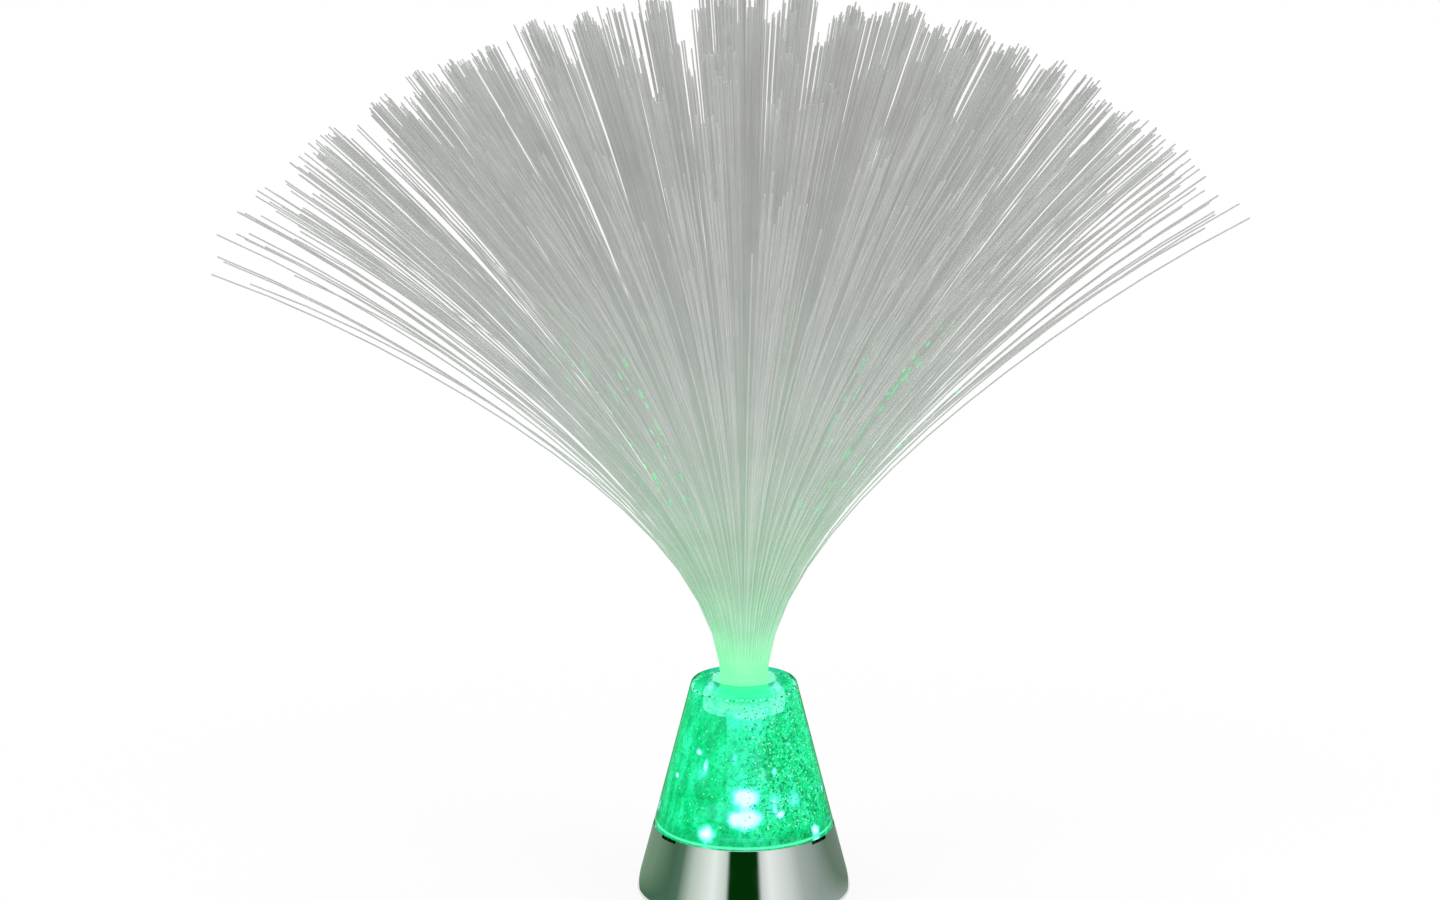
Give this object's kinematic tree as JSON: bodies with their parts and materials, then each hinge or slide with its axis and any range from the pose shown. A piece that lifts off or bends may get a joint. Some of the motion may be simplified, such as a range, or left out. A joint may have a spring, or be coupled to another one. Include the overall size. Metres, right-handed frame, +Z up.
{
  "type": "fibre optic table lamp",
  "caption": "Battery LED table lamp: a spray of optical fibres in a clear glitter-filled cone on a chrome base, with a bottom switch and battery door.",
  "frame": {"origin": "on the lamp's axis, at the level of the table that its feet stand on", "axes": "+Z up along the lamp's axis, -Y towards the viewer of the picture, +X to the viewer's right"},
  "size_m": [0.3612, 0.3612, 0.33],
  "materials": {
    "chrome": "bright vacuum-plated chrome on plastic, mirror smooth",
    "clear_crystal": "polished clear acrylic, lit green from inside",
    "glitter_liquid": "clear liquid full of fine green and gold glitter",
    "clear_acrylic": "clear acrylic",
    "milky_plastic": "milky translucent plastic, lit from below",
    "fibre": "grey-white translucent optical fibre, glowing green near its root",
    "black_plastic": "fine moulded texture",
    "white_plastic": "smooth moulded white",
    "rubber": "matt rubber",
    "screw_steel": "zinc-plated steel",
    "contact_steel": "nickel-plated spring steel",
    "cell_sleeve": "printed foil sleeve over a steel can",
    "circuit_board": "green solder mask on glass fibre board",
    "component": "moulded epoxy",
    "led_lens": "clear epoxy lens, lit",
    "red_wire": "red insulation",
    "black_wire": "black insulation",
    "yellow_wire": "yellow insulation"
  },
  "bodies": {
    "base": {"base_shell": "chrome", "battery_1": "cell_sleeve", "battery_2": "cell_sleeve", "battery_3": "cell_sleeve", "battery_spring_1": "contact_steel", "battery_spring_2": "contact_steel", "battery_spring_3": "contact_steel", "board_screw_1": "screw_steel", "board_screw_2": "screw_steel", "board_screw_3": "screw_steel", "bottom_plate": "black_plastic", "contact_bridge_1": "contact_steel", "contact_bridge_2": "contact_steel", "contact_negative": "contact_steel", "contact_positive": "contact_steel", "controller_chip": "component", "crystal_floor": "clear_acrylic", "crystal_shell": "clear_crystal", "fill_plug": "rubber", "foot_1": "rubber", "foot_2": "rubber", "foot_3": "rubber", "foot_4": "rubber", "glitter_liquid": "glitter_liquid", "led_1": "led_lens", "led_2": "led_lens", "led_3": "led_lens", "led_4": "led_lens", "led_board": "circuit_board", "light_guide": "clear_acrylic", "plate_screw_1": "screw_steel", "plate_screw_2": "screw_steel", "plate_screw_3": "screw_steel", "plate_screw_4": "screw_steel", "reflector_plate": "white_plastic", "resistor_1": "component", "resistor_2": "component", "resistor_3": "component", "switch_body": "black_plastic", "wire_black": "black_wire", "wire_red": "red_wire", "wire_yellow": "yellow_wire"},
    "spray": {"fibre_ferrule": "milky_plastic", "fibre_spray_1": "fibre", "fibre_spray_2": "fibre", "fibre_spray_3": "fibre", "fibre_spray_4": "fibre"},
    "battery_cover": {"battery_door": "black_plastic", "door_screw": "screw_steel"},
    "switch_slider": {"switch_knob": "white_plastic"}
  },
  "joints": [
    {"name": "spray_lift", "type": "slide", "parent": "base", "child": "spray", "axis": [0, 0, 1], "range_m": [0, 0.03]},
    {"name": "battery_door_hinge", "type": "hinge", "parent": "base", "child": "battery_cover", "pos_m": [0.0251, 0, 0.0015], "axis": [0, -1, 0], "range_deg": [0, 60]},
    {"name": "power_switch", "type": "slide", "parent": "base", "child": "switch_slider", "axis": [1, 0, 0], "range_m": [0, 0.003]}
  ]
}
